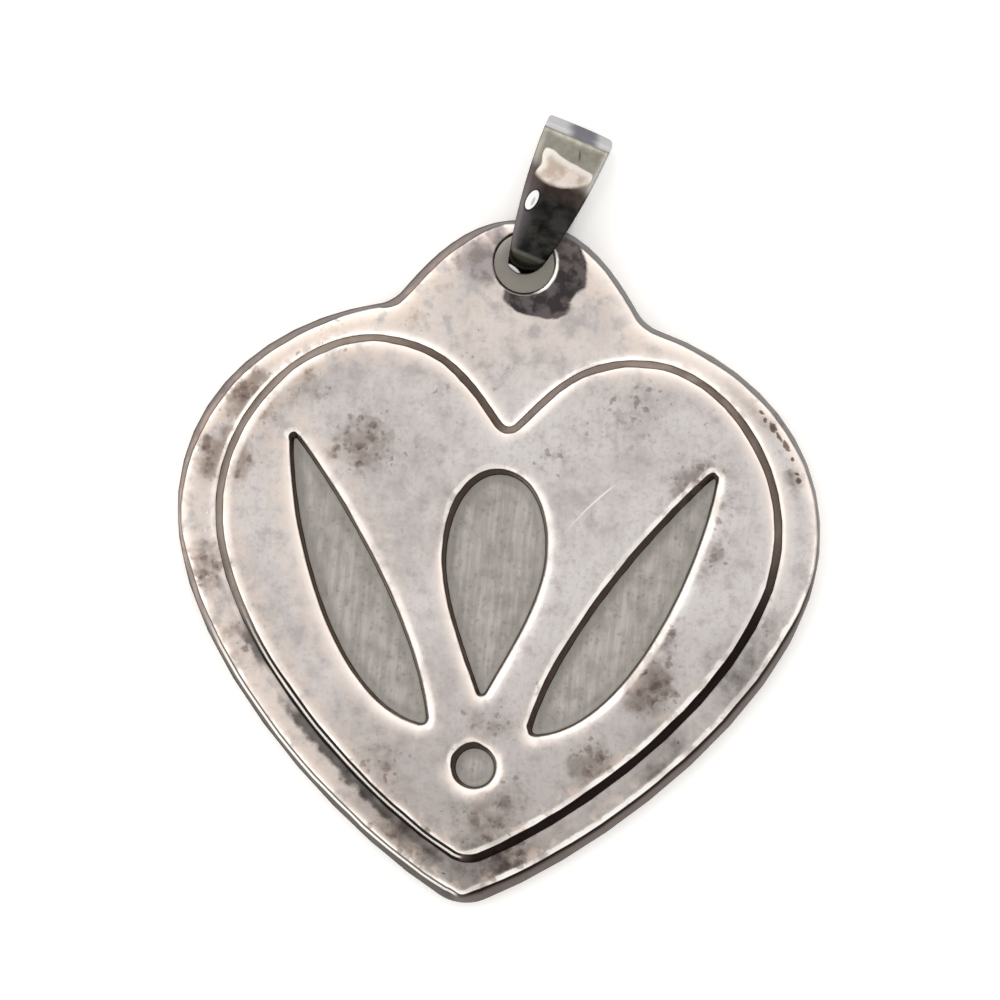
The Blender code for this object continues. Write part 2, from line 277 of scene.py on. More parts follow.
def seedOutline():
    pull = windows["seedRadius"] * 4 / 3 * math.tan(math.pi / 8)
    return [
        knot(
            Vector((0, windows["seedY"])) + out * windows["seedRadius"],
            Vector((-out.y, out.x)) * pull,
            Vector((out.y, -out.x)) * pull,
        )
        for out in (heading(angle) for angle in (90, 0, -90, -180))
    ]


windowLoops = [budOutline(), leafOutline(), reflected(leafOutline()), seedOutline()]
plateRuler = makeRuler([plateOutline()])
stepRuler = makeRuler([raisedOutline()] + windowLoops)


# Sheet work: a flat cut sheet with rings along its outline, then worn edges

sameSpot = 1e-3  # how near, in mm, two points count as one
ringPlaces = [0, 0.015, 0.05, 0.11, 0.19, 0.27, 0.34, 0.39, 0.42, 0.45, 0.49, 0.55, 0.63, 0.73, 0.85, 1.0]


def gridCuts(shape, cap, pitch):  # cuts a flat face into squares, so that it can carry wear
    for across in (Vector((1, 0, 0)), Vector((0, 1, 0))):
        reach = [vert.co.dot(across) for face in cap for vert in face.verts]
        place = min(reach) + pitch
        while place < max(reach):
            near = [
                face for face in cap
                if min(v.co.dot(across) for v in face.verts) < place < max(v.co.dot(across) for v in face.verts)
            ]
            edges = {edge for face in near for edge in face.edges}
            verts = {vert for face in near for vert in face.verts}
            cut = bmesh.ops.bisect_plane(
                shape, geom=list(verts) + list(edges) + near, dist=sameSpot / 10,
                plane_co=across * place, plane_no=across,
            )
            known = set(cap)
            cap += [
                part for part in cut["geom"] if isinstance(part, bmesh.types.BMFace) and part not in known
            ]
            place += pitch


def ringedSheet(loops, spec, ruler, gridPitch, refineBand=None):
    edge = spec["shoulderWidth"]
    last = len(ringPlaces) - 1
    shape = bmesh.new()
    shape.from_mesh(flatCurve(loops, curveSteps, True, spec["sideWall"], edge, last))
    bmesh.ops.remove_doubles(shape, verts=shape.verts, dist=sameSpot)
    flat = spec["sideWall"] / 2 + edge - sameSpot
    for side in (1, -1):
        cap = [face for face in shape.faces if all(vert.co.z * side > flat for vert in face.verts)]
        known = set(cap)
        inner = [
            part for part in shape.edges if part.link_faces and all(face in known for face in part.link_faces)
        ]
        bmesh.ops.dissolve_limit(shape, angle_limit=math.radians(1), verts=[], edges=inner)
        cap = [face for face in shape.faces if all(vert.co.z * side > flat for vert in face.verts)]
        gridCuts(shape, cap, gridPitch)
        if refineBand and side == 1:
            for band in refineBand:  # finer squares beside the raised heart's walls
                near = {
                    part for face in shape.faces
                    if all(vert.co.z > flat for vert in face.verts)
                    and -band[1] < measure(stepRuler, face.calc_center_median())[0] < band[0]
                    for part in face.edges
                }
                bmesh.ops.subdivide_edges(shape, edges=list(near), cuts=1, use_grid_fill=True)
    for vert in shape.verts:  # the rings move to where the edge turns
        if abs(vert.co.z) < flat:
            distance, way, _ = measure(ruler, vert.co)
            turn = math.acos(min(max(1 - distance / edge, 0.0), 1.0)) / (math.pi / 2) * last
            index = min(int(turn), last - 1)
            wanted = ringPlaces[index] + (ringPlaces[index + 1] - ringPlaces[index]) * (turn - index)
            vert.co += way * (distance - wanted * edge)
    print("  sheet of", len(shape.faces), "faces")
    return shape


def shade(way):  # 0 on walls that face the light, 1 on those that face away from it
    facing = math.cos(math.atan2(way.y, way.x) - math.radians(shadeHeading))
    return sum(share * smoothStep(low, high, facing) for share, low, high in shadeSteps)


def sided(pair, share):
    return pair[0] + (pair[1] - pair[0]) * share


def wallReach(spec, way, inWindow):
    reach = sided(spec["windowWallWidth" if inWindow else "wallWidth"], shade(way))
    facing = [(more, way.xy.dot(heading(angle))) for angle, more in spec["moreWall"]]
    return reach + sum(more * smoothStep(*wallTurn, squarely) for more, squarely in facing)


def edgeDrop(distance, spec, way, inWindow):  # how far the face has dropped at this distance from the outline
    share = shade(way)
    wall = max(1 - distance / wallReach(spec, way, inWindow), 0.0)
    shoulder = max(1 - distance / spec["shoulderWidth"], 0.0)
    depth = sided(spec["windowWallDepth" if inWindow else "wallDepth"], share)
    return depth * wall**wallCurve + sided(spec["shoulderDepth"], share) * shoulder**2


def layered(place, layers, start=0.0):
    spots = [(most, Vector((place.x * rate, place.y * rate, z))) for rate, most, z in layers]
    return sum((most * noise.noise(spot) for most, spot in spots), start)


def unevenness(place, distance, spec):  # hand filing leaves the edge a little uneven
    return spec["ripple"] * layered(place, wear["filing"]) * smoothStep(*wear["filingStart"], distance)


def shapeFaces(shape, spec, ruler, bottom, top, wornBack):
    for vert in shape.verts:
        distance, way, inWindow = measure(ruler, vert.co)
        distance = max(distance + unevenness(vert.co, distance, spec), 0.0)
        onFace = vert.co.z > 0
        drop = edgeDrop(distance, spec, way, inWindow)
        waves = layered(vert.co, wear["frontWaves" if onFace else "backWaves"], 1.0)
        drop += spec["wave"] * waves * smoothStep(*wear["waveStart"], distance)
        if onFace:
            vert.co.z = top - drop
        else:
            vert.co.z = bottom + drop if wornBack else bottom


def measuredWear(mesh, spec, ruler):  # what the silver's finish follows along its edges
    past, rim, ways, pierced = [], [], [], []
    for vertex in mesh.vertices:
        distance, way, inWindow = measure(ruler, vertex.co)
        distance = max(distance + unevenness(vertex.co, distance, spec), 0.0)
        past.append(distance - wallReach(spec, way, inWindow))
        rim.append(distance)
        ways.append(way)
        pierced.append(float(inWindow))
    writeAttributes(
        mesh, pastWall=past, rimDistance=rim, pierced=pierced,
        wayX=[way.x for way in ways], wayY=[way.y for way in ways],
    )


# The plate

def holeCutter():
    face = plate["thickness"] / 2
    steps = plate["mouthSteps"]
    places = []
    for side, (across, down) in ((1, plate["frontMouth"]), (-1, plate["backMouth"])):
        half = [(plate["holeRadius"] + across, side * plate["thickness"])]
        for step in range(steps + 1):
            swing = math.pi / 2 * step / steps
            height = face - down * (1 - math.cos(swing))
            half.append((plate["holeRadius"] + across * (1 - math.sin(swing)), side * height))
        places += half[::side]
    shape = bmesh.new()
    line = [shape.verts.new((radius, 0, height)) for radius, height in places]
    for above, below in zip(line, line[1:]):
        shape.edges.new((above, below))
    bmesh.ops.spin(
        shape, geom=shape.verts[:] + shape.edges[:], axis=(0, 0, 1), cent=(0, 0, 0),
        angle=2 * math.pi, steps=plate["holeSides"], use_merge=True,
    )
    bmesh.ops.holes_fill(shape, edges=shape.edges)
    bmesh.ops.translate(shape, vec=(0, plate["holeY"], face), verts=shape.verts)
    return finishMesh(shape, "hole cutter")


def cutAway(mesh, cutterMesh):
    body = linkPiece("body", mesh)
    cutter = linkPiece("cutter", cutterMesh)
    cut = body.modifiers.new("hole", "BOOLEAN")
    cut.operation = "DIFFERENCE"
    cut.object = cutter
    bpy.context.view_layer.update()
    result = bpy.data.meshes.new_from_object(body.evaluated_get(bpy.context.evaluated_depsgraph_get()))
    bpy.data.objects.remove(body)
    bpy.data.objects.remove(cutter)
    return result


spotClusters = [  # middle of each cluster of tarnish spots, its radius and how thick they lie
    (-13.0, 5.2, 2.0, 0.62), (-14.0, 1.9, 1.9, 0.6), (-7.1, 3.3, 2.2, 0.5), (-14.5, -3.6, 1.7, 0.5),
    (-10.4, 6.0, 1.8, 0.36), (-12.3, -7.0, 1.8, 0.35), (-9.0, 8.4, 1.4, 0.25),
    (9.8, 2.4, 2.0, 0.62), (10.4, -0.6, 1.7, 0.45), (8.0, -7.4, 2.0, 0.66), (8.4, -5.0, 1.8, 0.5),
    (5.8, -11.7, 1.6, 0.58), (13.6, 6.5, 1.1, 0.65), (14.5, 3.7, 0.8, 0.6), (11.4, 7.4, 2.2, 0.45),
    (13.9, -3.6, 1.4, 0.4), (0.5, -9.9, 1.8, 0.4), (1.0, -14.4, 2.6, 0.45), (-3.9, 3.4, 1.6, 0.25),
    (3.6, -8.6, 1.5, 0.35), (-4.9, -13.0, 2.2, 0.4), (5.9, 6.0, 2.6, 0.32), (-2.2, 7.4, 2.5, 0.3),
    (2.0, 3.5, 1.6, 0.25), (-5.0, 9.3, 1.8, 0.28), (2.2, -17.0, 2.6, 0.55), (-3.6, -16.6, 2.4, 0.55),
]
darkStains = [  # smoky tarnish: middle, radius and depth
    (-3.4, 11.2, 1.8, 0.25), (-14.2, 2.6, 2.4, 0.2), (-7.0, 3.2, 2.6, 0.22), (8.6, -7.0, 2.8, 0.25),
    (1.0, -17.4, 3.0, 0.55), (0.8, -14.2, 3.0, 0.25), (4.0, 10.6, 1.6, 0.3),
    (13.2, -6.4, 3.0, 0.5), (9.6, -11.0, 2.6, 0.5), (-5.2, -14.5, 1.3, 0.35),
    (-3.5, -15.6, 1.3, 0.45), (-1.7, -16.8, 1.3, 0.55),
]


spotFade = (0.25, 1.4)  # a cluster thins out between these shares of its radius
metalTone = {  # from where to where it changes, in mm, and by how much
    "warmLeft": (1.0, -13.0, 0.6), "warmTop": (5.0, 10.5, 0.8), "dullTip": (-4.0, -18.0, 1.0), "dullLean": 0.25,
}


def gathered(place, spots):
    total = 0.0
    for x, y, radius, weight in spots:
        away = math.hypot(place.x - x, place.y - y) / radius
        total = max(total, weight * (1 - smoothStep(*spotFade, away)))
    return total


def toned(name, value):
    low, high, most = metalTone[name]
    return most * smoothStep(low, high, value)


def writeTarnish(mesh):
    places = [vertex.co for vertex in mesh.vertices]
    lean = metalTone["dullLean"]
    writeAttributes(
        mesh,
        spotting=[gathered(place, spotClusters) for place in places],
        smoke=[gathered(place, darkStains) for place in places],
        # the metal is warmer towards the left and upper margins, and duller towards the tip
        warmth=[toned("warmLeft", place.x) + toned("warmTop", place.y) for place in places],
        dullness=[toned("dullTip", place.y - lean * place.x) for place in places],
    )


def makePlate():
    shape = ringedSheet([plateOutline()], plate, plateRuler, plate["facePitch"], plate["finerBands"])
    shapeFaces(shape, plate, plateRuler, 0.0, plate["thickness"], True)
    for vert in shape.verts:
        if vert.co.z > plate["thickness"] / 2:
            distance = measure(stepRuler, vert.co)[0]
            beside = max(1 + min(distance, 0.0) / plate["solderWidth"], 0.0)
            vert.co.z += plate["solder"] * beside**2 * (1 - smoothStep(*plate["solderEnd"], distance))
    mesh = cutAway(finishMesh(shape, "heart plate"), holeCutter())
    measuredWear(mesh, plate, plateRuler)
    readings = [measure(stepRuler, v.co) for v in mesh.vertices]
    fromHole = [Vector((v.co.x, v.co.y - plate["holeY"])) for v in mesh.vertices]
    toLight = heading(plate["litHeading"])
    writeAttributes(
        mesh,
        besideStep=[max(-distance, 0.0) for distance, _, _ in readings],
        stepWayX=[way.x for _, way, _ in readings],
        stepWayY=[way.y for _, way, _ in readings],
        sunk=[float(inWindow and distance < windows["floorEdge"]) for distance, _, inWindow in readings],
        holeRim=[away.length - plate["holeRadius"] for away in fromHole],
        holeLight=[smoothStep(*plate["litReach"], away.normalized().dot(toLight)) for away in fromHole],
    )
    writeTarnish(mesh)
    return placePiece("plate_body", mesh)


# The raised heart

def makeRaisedHeart():
    shape = ringedSheet([raisedOutline()] + windowLoops, raised, stepRuler, raised["facePitch"])
    bottom = plate["thickness"] + raised["gap"]
    shapeFaces(shape, raised, stepRuler, bottom, bottom + raised["thickness"], False)
    mesh = finishMesh(shape, "raised heart")
    measuredWear(mesh, raised, stepRuler)
    writeTarnish(mesh)
    return placePiece("raised_heart_body", mesh)


# The bail

bail = {
    "length": 8.12, "strip": 0.5, "footHalfWidth": 0.65, "topHalfWidth": 1.76, "taperPower": 0.85,
    "clearance": 0.3, "headDepth": 4.1, "headSlope": 0.55, "backFall": 0.1,
    "footBend": 1.1, "creaseBend": 0.414, "footToAxis": 2.44, "lean": 17.5, "axis": (0.55, 14.78, 0.75),
    "crown": 0.13, "crownPower": 2.4, "headFlat": 0.8,  # how much flatter the head is across
    "bow": 0.08, "bowEnd": 1.0, "edge": 0.07, "sharp": 50, "crease": 7.30,
    "cornerRound": (0.3, 0.5), "cornerDepth": 0.8,  # at the top, left and right
    "longRun": 1.0, "lengthCuts": 30, "widthCuts": 17, "creaseSteps": 8, "footSteps": 14, "edgeSteps": 3,
    "footRoundLeft": (0.3, 0.2), "footRoundRight": (1.0, 0.8),  # how far up the rounding goes, and how far in
}


def bailHalfWidth(fromFoot):
    share = min(max(fromFoot / bail["length"], 0.0), 1.0)
    swell = math.sin(math.pi / 2 * share ** bail["taperPower"])
    return bail["footHalfWidth"] + (bail["topHalfWidth"] - bail["footHalfWidth"]) * swell


def onBail(across, along):  # a place on the strip, from its middle line and from its foot, in the part's frame
    lean = math.radians(bail["lean"])
    rise = along - bail["footToAxis"]
    return (
        bail["axis"][0] + across * math.cos(lean) + rise * math.sin(lean),
        bail["axis"][1] - across * math.sin(lean) + rise * math.cos(lean),
        0,
    )


def roundOff(shape, parts, reach, steps, affect="VERTICES"):
    bmesh.ops.bevel(
        shape, geom=parts, offset=reach, offset_type="OFFSET", segments=steps, profile=0.5, affect=affect,
        material=-1,
    )


def makeBail():
    inset = bail["strip"] / 2
    footHalf = plate["thickness"] / 2 + bail["clearance"] + inset
    back = -footHalf - bail["backFall"]
    front = back + bail["headDepth"] - bail["strip"]
    side = [
        (inset, footHalf), (bail["length"] - inset - bail["headSlope"], front),
        (bail["length"] - inset, back), (inset, -footHalf),
    ]
    shape = bmesh.new()
    corners = [shape.verts.new((0, along, height)) for along, height in side]
    shape.faces.new(corners)
    roundOff(shape, corners[1:3], bail["creaseBend"], bail["creaseSteps"])
    feet = sorted(shape.verts, key=lambda vert: vert.co.y)[:2]
    roundOff(shape, feet, bail["footBend"], bail["footSteps"])
    runs = [edge for edge in shape.edges if edge.calc_length() > bail["longRun"]]
    bmesh.ops.subdivide_edges(shape, edges=runs, cuts=bail["lengthCuts"])
    loop = shape.edges[:]
    bmesh.ops.delete(shape, geom=shape.faces[:], context="FACES_ONLY")
    swept = bmesh.ops.extrude_edge_only(shape, edges=loop)["geom"]
    for vert in shape.verts:
        vert.co.x = -1
    for part in swept:
        if isinstance(part, bmesh.types.BMVert):
            part.co.x = 1
    rungs = [edge for edge in shape.edges if abs(edge.verts[0].co.x - edge.verts[1].co.x) > 1]
    bmesh.ops.subdivide_edges(shape, edges=rungs, cuts=bail["widthCuts"])
    bmesh.ops.recalc_face_normals(shape, faces=shape.faces)
    shape.normal_update()
    footVert = min(shape.verts, key=lambda vert: vert.co.y)
    outward = 1 if footVert.normal.y < 0 else -1
    normals = {vert: vert.normal * outward for vert in shape.verts}
    skin = shape.verts[:]
    for vert in skin:
        vert.co += normals[vert] * inset
    if outward < 0:
        bmesh.ops.reverse_faces(shape, faces=shape.faces)
    bmesh.ops.solidify(shape, geom=shape.faces[:], thickness=bail["strip"])
    for vert in skin:
        fall = bail["crown"] * (1 - bail["headFlat"] * max(normals[vert].y * outward, 0.0))
        vert.co -= normals[vert] * fall * abs(vert.co.x) ** bail["crownPower"]
    sharp = [edge for edge in shape.edges if edge.calc_face_angle(0) > math.radians(bail["sharp"])]
    roundOff(shape, sharp, bail["edge"], bail["edgeSteps"], "EDGES")
    for vert in shape.verts:
        along = vert.co.y
        corner = bail["cornerRound"][vert.co.x > 0]
        past = min(max(along - bail["length"] + corner, 0.0) / corner, 1.0)
        half = bailHalfWidth(along) - corner * (1 - math.sqrt(1 - past * past)) * bail["cornerDepth"]
        reach, depth = bail["footRoundRight" if vert.co.x > 0 else "footRoundLeft"]
        short = min(max(reach - along, 0.0) / reach, 1.0)
        vert.co.x *= half - depth * (1 - math.sqrt(1 - short * short))
        if vert.co.z > 0:
            share = min(max(along / (bail["length"] - bail["bowEnd"]), 0), 1)
            vert.co.z += bail["bow"] * math.sin(math.pi * share)
    mesh = finishMesh(shape, "bail")
    writeAttributes(mesh, fromRight=[bailHalfWidth(v.co.y) - v.co.x for v in mesh.vertices])
    place = Matrix.Translation(bail["axis"]) @ Matrix.Rotation(-math.radians(bail["lean"]), 4, "Z")
    mesh.transform(place @ Matrix.Translation((0, -bail["footToAxis"], 0)))
    return placePiece("bail_body", mesh)


# Colours and nodes

def fromHex(code):  # sRGB hex to the linear colour that a socket takes
    channels = [int(code[index:index + 2], 16) / 255 for index in (0, 2, 4)]
    return (*(c / 12.92 if c <= 0.04045 else ((c + 0.055) / 1.055) ** 2.4 for c in channels), 1.0)


def setInputs(tree, node, **links):  # named by the socket's name, or by i and its number
    for name, value in links.items():
        numbered = name[0] == "i" and name[1:].isdigit()
        socket = node.inputs[int(name[1:])] if numbered else node.inputs[name.replace("_", " ")]
        if isinstance(value, bpy.types.NodeSocket):
            tree.links.new(value, socket)
        else:
            socket.default_value = value


def addNode(tree, kind, settings=None, **links):  # gives the node's outputs
    node = tree.nodes.new("ShaderNode" + kind)
    for name, value in (settings or {}).items():
        setattr(node, name, value)
    setInputs(tree, node, **links)
    return node.outputs


def newMaterial(name):
    material = bpy.data.materials.new(name)
    material.use_nodes = True
    return material, material.node_tree, material.node_tree.nodes["Principled BSDF"]


dotBendRate = 1.6  # how much finer the noise is that bends the dots than the dots themselves
endless = 1e6  # depth of an oval, which is the same all through a piece
signs = {"+": "ADD", "-": "SUBTRACT", "*": "MULTIPLY"}


def writtenOut(recipe):  # a short row becomes one row for each node
    for name, kind, *values in recipe:
        if kind == "oval":  # 1 inside, 0 outside; its half length lies along Y before it is turned
            place, angle, reach, soft = values
            yield "away", "distance", place, angle, (*reach, endless)
            yield name, "range", "away", 1 + soft, 1 - soft
        elif kind == "facing":  # 1 where a wall faces this way, falling to 0 as it turns from it
            way, angle, low, high = values
            toward = heading(angle)
            yield "toward", "*", way + "Y", toward.y
            yield "toward", "MULTIPLY_ADD", way + "X", toward.x, "toward"
            yield name, "range", "toward", low, high
        elif kind == "chain":  # sums worked out one after the other
            first, *steps = values
            for step, other in zip(steps[::2], steps[1::2]):
                yield name, step, first, other
                first = name
        elif kind == "tint":  # a colour, what it follows with its range and most, and what else limits it
            colour, share, *limits = values
            if limits and not isinstance(limits[0], str):
                low, high, most, *limits = limits
                yield "share", "range", share, low, high, 0, most
                share = "share"
            for limit in limits:
                yield "share", "*", share, limit
                share = "share"
            yield name, "over", name, share, colour
        else:
            yield name, kind, *values


def layOn(tree, made, recipe):  # works down a finish and keeps each result by its name
    for name, kind, *values in writtenOut(recipe):
        values = [made[value] if isinstance(value, str) and value in made else value for value in values]
        if kind == "measured":
            made[name] = addNode(tree, "Attribute", {"attribute_name": name})["Fac"]
        elif kind == "grain":
            scale, detail, roughness, shift, stretch = (*values, (1, 1, 1))[:5]
            moved = addNode(tree, "Mapping", i0=made["place"], Location=shift, Scale=stretch)[0]
            links = {"Vector": moved, "Scale": scale, "Detail": detail, "Roughness": roughness}
            made[name] = addNode(tree, "TexNoise", **links)["Fac"]
        elif kind == "dots":  # each dot's random size, less how far the place lies from its middle
            scale, shift, wobble = values
            moved = addNode(tree, "Mapping", i0=made["place"], Location=shift)[0]
            bent = addNode(tree, "TexNoise", Vector=moved, Scale=scale * dotBendRate, Detail=1.0)["Color"]
            moved = addNode(
                tree, "VectorMath", {"operation": "MULTIPLY_ADD"}, i0=bent, i1=(wobble,) * 3, i2=moved
            )[0]
            cells = addNode(tree, "TexVoronoi", {"voronoi_dimensions": "2D"}, Vector=moved, Scale=scale)
            size = addNode(tree, "SeparateColor", i0=cells["Color"])[0]
            made[name] = addNode(tree, "Math", {"operation": "SUBTRACT"}, i0=size, i1=cells["Distance"])[0]
        elif kind in {"distance", "turned"}:
            place, angle, reach = (*values, (1, 1, 1))[:3]
            moved = addNode(
                tree, "Mapping", {"vector_type": "TEXTURE"}, i0=made["place"],
                Location=place, Rotation=(0, 0, math.radians(angle)), Scale=reach,
            )[0]
            if kind == "distance":
                made[name] = addNode(tree, "VectorMath", {"operation": "LENGTH"}, i0=moved)["Value"]
            else:
                parts = addNode(tree, "SeparateXYZ", i0=moved)
                made[name + "X"], made[name + "Y"], made[name + "Z"] = parts
        elif kind == "range":
            source, low, high, least, most = (*values, 0, 1)[:5]
            made[name] = addNode(
                tree, "MapRange", {"interpolation_type": "SMOOTHSTEP"},
                i0=source, i1=low, i2=high, i3=least, i4=most,
            )[0]
        elif kind == "over":
            under, share, colour = (fromHex(value) if isinstance(value, str) else value for value in values)
            made[name] = addNode(tree, "Mix", {"data_type": "RGBA"}, i0=share, i6=under, i7=colour)[2]
        else:
            numbers = {"i" + str(index): value for index, value in enumerate(values)}
            made[name] = addNode(tree, "Math", {"operation": signs.get(kind, kind)}, **numbers)[0]
    return made


def ovals(name, spots, soft, grain, ragged):  # rows that gather ovals under one name, with uneven borders
    rows = []
    for x, y, turn, *reach in spots:
        rows += [(name + "Next", "oval", (x, y, 0), turn, reach, soft), (name, "MAXIMUM", name, name + "Next")]
    rows[1:2] = [(name, "MAXIMUM", 0.0, name + "Next")]
    uneven = name + "Noise"
    return rows + [(uneven, "MULTIPLY_ADD", grain, ragged, -ragged / 2), (name, "+", name, uneven)]


def finishMaterial(name, recipe, bumpStrength, bumpDepth, grazing="FFFFFF"):
    material, tree, shader = newMaterial(name)
    place = addNode(tree, "TexCoord")["Object"]
    inMm = addNode(tree, "VectorMath", {"operation": "SCALE"}, i0=place, Scale=1000.0)[0]
    made = layOn(tree, {"place": inMm}, recipe)
    bump = addNode(tree, "Bump", Strength=bumpStrength, Distance=bumpDepth * mm, Height=made["height"])
    setInputs(
        tree, shader, Base_Color=made["colour"], Roughness=made["roughness"],
        Metallic=made.get("metallic", 1.0), Specular_Tint=fromHex(grazing), Normal=bump["Normal"],
    )
    return material


# Worn sterling silver: sawn sheet, satin after years of wear. Silver sulphide darkens the hollows and
# dots the faces with brown, and rubbing keeps the raised edges pale. Over this lies painted light: highlights
# along the rims and some walls, and painted shade on walls that face down to the right and in corners and
# creases.

wornMarks = [
    *[(name, "measured") for name in (
        "rimDistance", "pastWall", "wayX", "wayY", "spotting", "smoke", "warmth", "dullness"
    )],
    ("cloud", "grain", 0.22, 3, 0.55, (0, 0, 0)),  # clouds of 4 to 5 mm
    ("mottle", "grain", 0.9, 4, 0.6, (3, 8, 0)),  # mottling of about a millimetre
    ("blot", "grain", 1.4, 3, 0.55, (7, 7, 0)),  # soft blotches of 0.4 to 0.8 mm
    ("spot", "dots", 1.7, (7, 7, 0), 0.55),  # round tarnish spots, at most one to each 0.6 mm
    ("dot", "dots", 3.8, (2, 5, 0), 0.30),  # and smaller ones
    ("fleck", "grain", 4.2, 3, 0.6, (1, 2, 0)),  # specks of 0.1 to 0.2 mm
    ("streak", "grain", 1.1, 3, 0.6, (0, 0, 0), (3.4, 0.35, 1)),  # fine lines left by rubbing up and down
    ("stretch", "grain", 0.35, 2, 0.5, (9, 4, 0)),  # how well each 3 mm of an edge has been rubbed
]
silverFace = [
    ("cloudy", "range", "cloud", 0.36, 0.64),
    ("face", "over", "C2BCBA", "cloudy", "D6D1D0"),
    ("face", "tint", "E6E2E1", "mottle", 0.45, 0.68, 0.5),
    ("face", "tint", "AAA3A2", "mottle", 0.48, 0.32, 0.5),
    ("face", "tint", "A39C9A", "streak", 0.44, 0.70, 0.14),
    ("face", "tint", "9A918E", "fleck", 0.48, 0.68, 0.26),
    ("dulled", "*", "dullness", 0.5),
    ("face", "tint", "8F847C", "dulled"),
    ("nearRim", "range", "rimDistance", 2.2, 0.4),
    ("patchy", "range", "mottle", 0.36, 0.58, 0.1, 1),
    ("face", "tint", "F0DCCC", "nearRim", "warmth", "patchy"),
]
paleMargin = [
    ("lightened", "*", "warmth", 0.62),
    ("face", "tint", "F3E6DC", "lightened", "patchy"),
]
tarnish = [
    ("haze", "+", "spotting", "mottle"),
    ("face", "tint", "8B7F77", "haze", 0.72, 1.30, 0.40),
    ("blotField", "+", "blot", "spotting"),
    ("blotColour", "over", "7C7069", "warmth", "8C7362"),
    ("face", "tint", "blotColour", "blotField", 0.74, 1.12, 0.62),
    ("spotField", "+", "spot", "spotting"),
    ("softSpots", "range", "spotField", 0.86, 1.08, 0, 0.60),
    ("face", "tint", "776A62", "softSpots"),
    ("dotField", "+", "dot", "spotting"),
    ("face", "tint", "6E6158", "dotField", 0.90, 1.20, 0.45),
    ("face", "tint", "51443C", "spotField", 1.14, 1.42, 0.6),  # the spots' darker middles
    # pale flecks along the dull edges
    ("nearEdge", "range", "pastWall", 1.1, 0.3),
    ("face", "tint", "E6D5C9", "blot", 0.47, 0.62, 0.6, "nearEdge", "dullness"),
    # smoky patches with ragged borders
    ("smokeEdge", "*", "mottle", 1.1),
    ("smokeField", "+", "smoke", "smokeEdge"),
    ("face", "tint", "352C29", "smokeField", 0.66, 1.50, 0.92),
]
rims = [  # the rubbed line along the top of each wall, with a painted highlight on it, crisp except at the upper right
    ("upRight", "facing", "way", 52, 0.45, 0.92),
    ("lowRight", "facing", "way", -50, 0.55, 0.92),
    ("lowLeft", "facing", "way", -124, 0.87, 0.955),
    ("left", "facing", "way", 175, 0.45, 0.95),
    ("rubbed", "range", "stretch", 0.36, 0.60, 0.35, 1),
    ("broken", "range", "mottle", 0.36, 0.50, 0.25, 1),
    ("spotless", "-", 1.0, "softSpots"),
    ("tattered", "range", "blot", 0.44, 0.56, 0, 0.85),
    ("tattered", "*", "tattered", "left"),
    ("whole", "-", 1.0, "tattered"),
    ("rimWear", "chain", "rubbed", "*", "broken", "*", "spotless", "*", "whole"),
    # painted highlight: a broad soft band above walls that face up to the right, the rubbed pale line, and a
    # near-white line that is wider down to the right
    ("face", "tint", "F3EAE4", "pastWall", 0.95, 0.0, 0.75, "upRight"),
    ("face", "tint", "F4E4DA", "pastWall", 0.40, 0.02, 1, "rimWear"),
    ("crisp", "chain", "upRight", "*", -0.7, "+", 1.0),
    ("rimWide", "*", "lowRight", -0.12),
    ("rimPast", "MULTIPLY_ADD", "blot", 0.3, "rimWide"),
    ("rimPast", "+", "rimPast", "pastWall"),
    ("face", "tint", "FFFDF9", "rimPast", 0.31, 0.21, 1, "rimWear", "crisp"),
    # painted shade: walls are browner and darker the more they face down to the right, away from the light, and
    # unevenly so
    ("wallCloud", "grain", 0.7, 4, 0.6, (5, 1, 4)),
    ("wallUneven", "range", "wallCloud", 0.34, 0.66, -0.25, 0.30),
    ("shaded", "facing", "way", -30, -0.9, 0.7),
    ("wallDark", "+", "shaded", "wallUneven"),
    ("wallTone", "range", "wallDark", 0.0, 1.0),
    ("onWall", "range", "pastWall", 0.015, -0.03),
]
raisedWalls = [
    ("pierced", "measured"),
    ("openly", "-", 1.0, "pierced"),
    # tarnished walls with painted shade: darker the more they face down to the right, darkest down to the right
    # and down to the left
    ("wall", "over", "A0958E", "wallTone", "74675F"),
    ("wall", "tint", "1F1613", "lowRight"),
    ("wall", "tint", "2A2523", "lowLeft"),
    # painted light and shade: a window's walls are paler on the side that faces the light
    ("sawn", "*", "pierced", "wallTone"),
    ("sawn", "range", "sawn", 0.35, 1.0),
    ("sawnWall", "over", "ADA29B", "sawn", "75665F"),
    ("wall", "tint", "sawnWall", "pierced"),
    # a painted highlight half way down the lower left wall, and painted shade in dark lines under the rim and
    # at the foot
    ("wallMiddle", "range", "pastWall", -0.13, -0.18),
    ("wallLow", "range", "pastWall", -0.29, -0.24),
    ("wall", "tint", "FFFCF6", "wallMiddle", "wallLow", "lowLeft", "openly"),
    ("wall", "tint", "2C2320", "pastWall", -0.09, -0.04, 0.45),
    ("wall", "tint", "2E2522", "rimDistance", 0.08, 0.03, 0.8),
]
